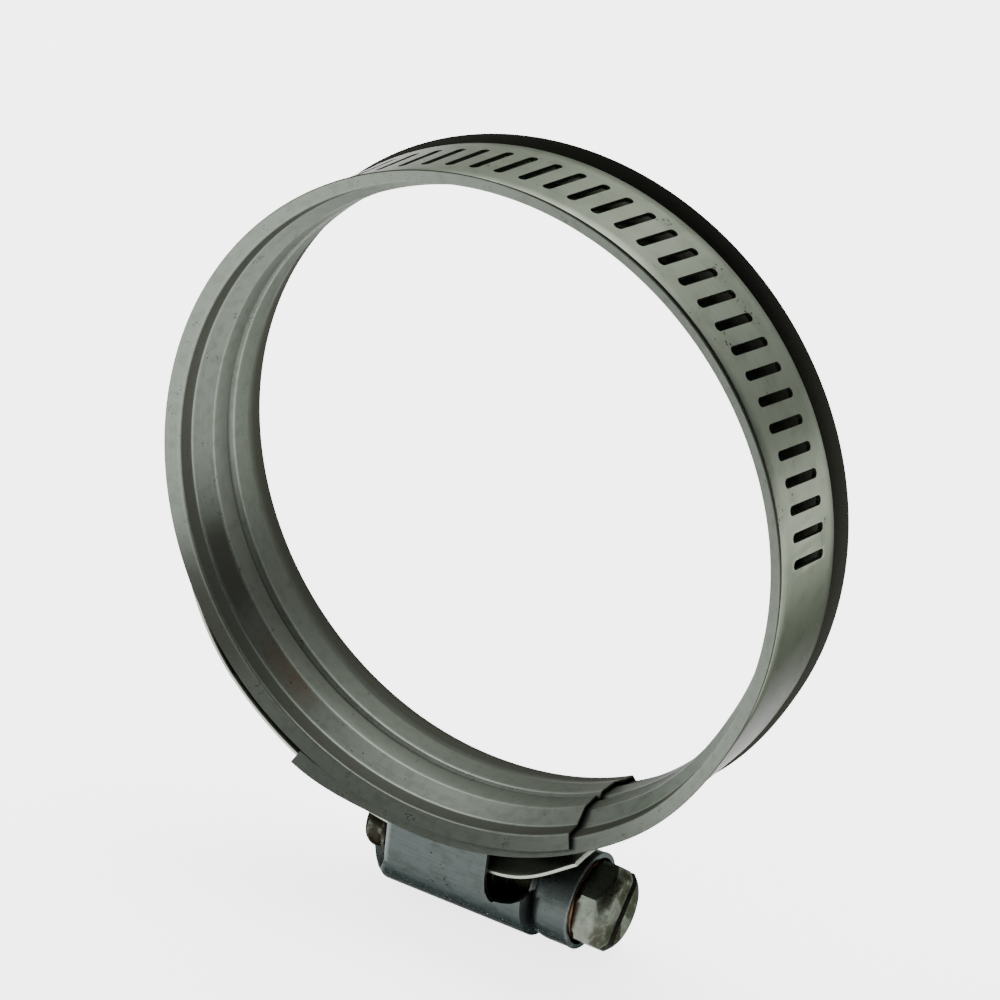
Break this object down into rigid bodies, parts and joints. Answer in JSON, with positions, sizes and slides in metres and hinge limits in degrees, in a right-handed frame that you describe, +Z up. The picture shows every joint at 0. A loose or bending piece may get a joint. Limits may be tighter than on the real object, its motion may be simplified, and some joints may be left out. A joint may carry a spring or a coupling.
{
  "type": "hose clamp",
  "caption": "Worm-drive hose clamp: slotted band with a beaded inner liner, screw housing below and a hex head screw.",
  "frame": {"origin": "under the ring's middle, at the lowest point of the screw housing", "axes": "+Y along the ring's axis, +X along the screw towards its hex head, +Z up from the housing to the ring"},
  "size_m": [0.0783, 0.0172, 0.0905],
  "materials": {
    "liner_strip": "satin stainless sheet, stained",
    "band_strip": "satin stainless sheet",
    "housing_steel": "dull plated steel",
    "screw_steel": "zinc-plated steel with light rust"
  },
  "bodies": {
    "frame": {"housing": "housing_steel", "band_anchor_end": "band_strip", "band_loop": "band_strip", "liner_loop": "liner_strip", "liner_lap_end": "liner_strip"},
    "drawn_strip": {"band_tail": "band_strip", "liner_free_end": "liner_strip"},
    "worm": {"screw": "screw_steel"}
  },
  "joints": [
    {"name": "screw_turn", "type": "hinge", "parent": "frame", "child": "worm", "pos_m": [0, 0, 0.006], "axis": [-1, 0, 0], "range_deg": [-360, 720]},
    {"name": "band_draw", "type": "hinge", "parent": "frame", "child": "drawn_strip", "pos_m": [0, 0, 0.0514], "axis": [0, -1, 0], "range_deg": [-4.2, 8.4], "deforming": ["band_loop", "liner_loop"]}
  ],
  "couplings": [
    {"joint": "band_draw", "follows": "screw_turn", "ratio": 0.011478}
  ]
}
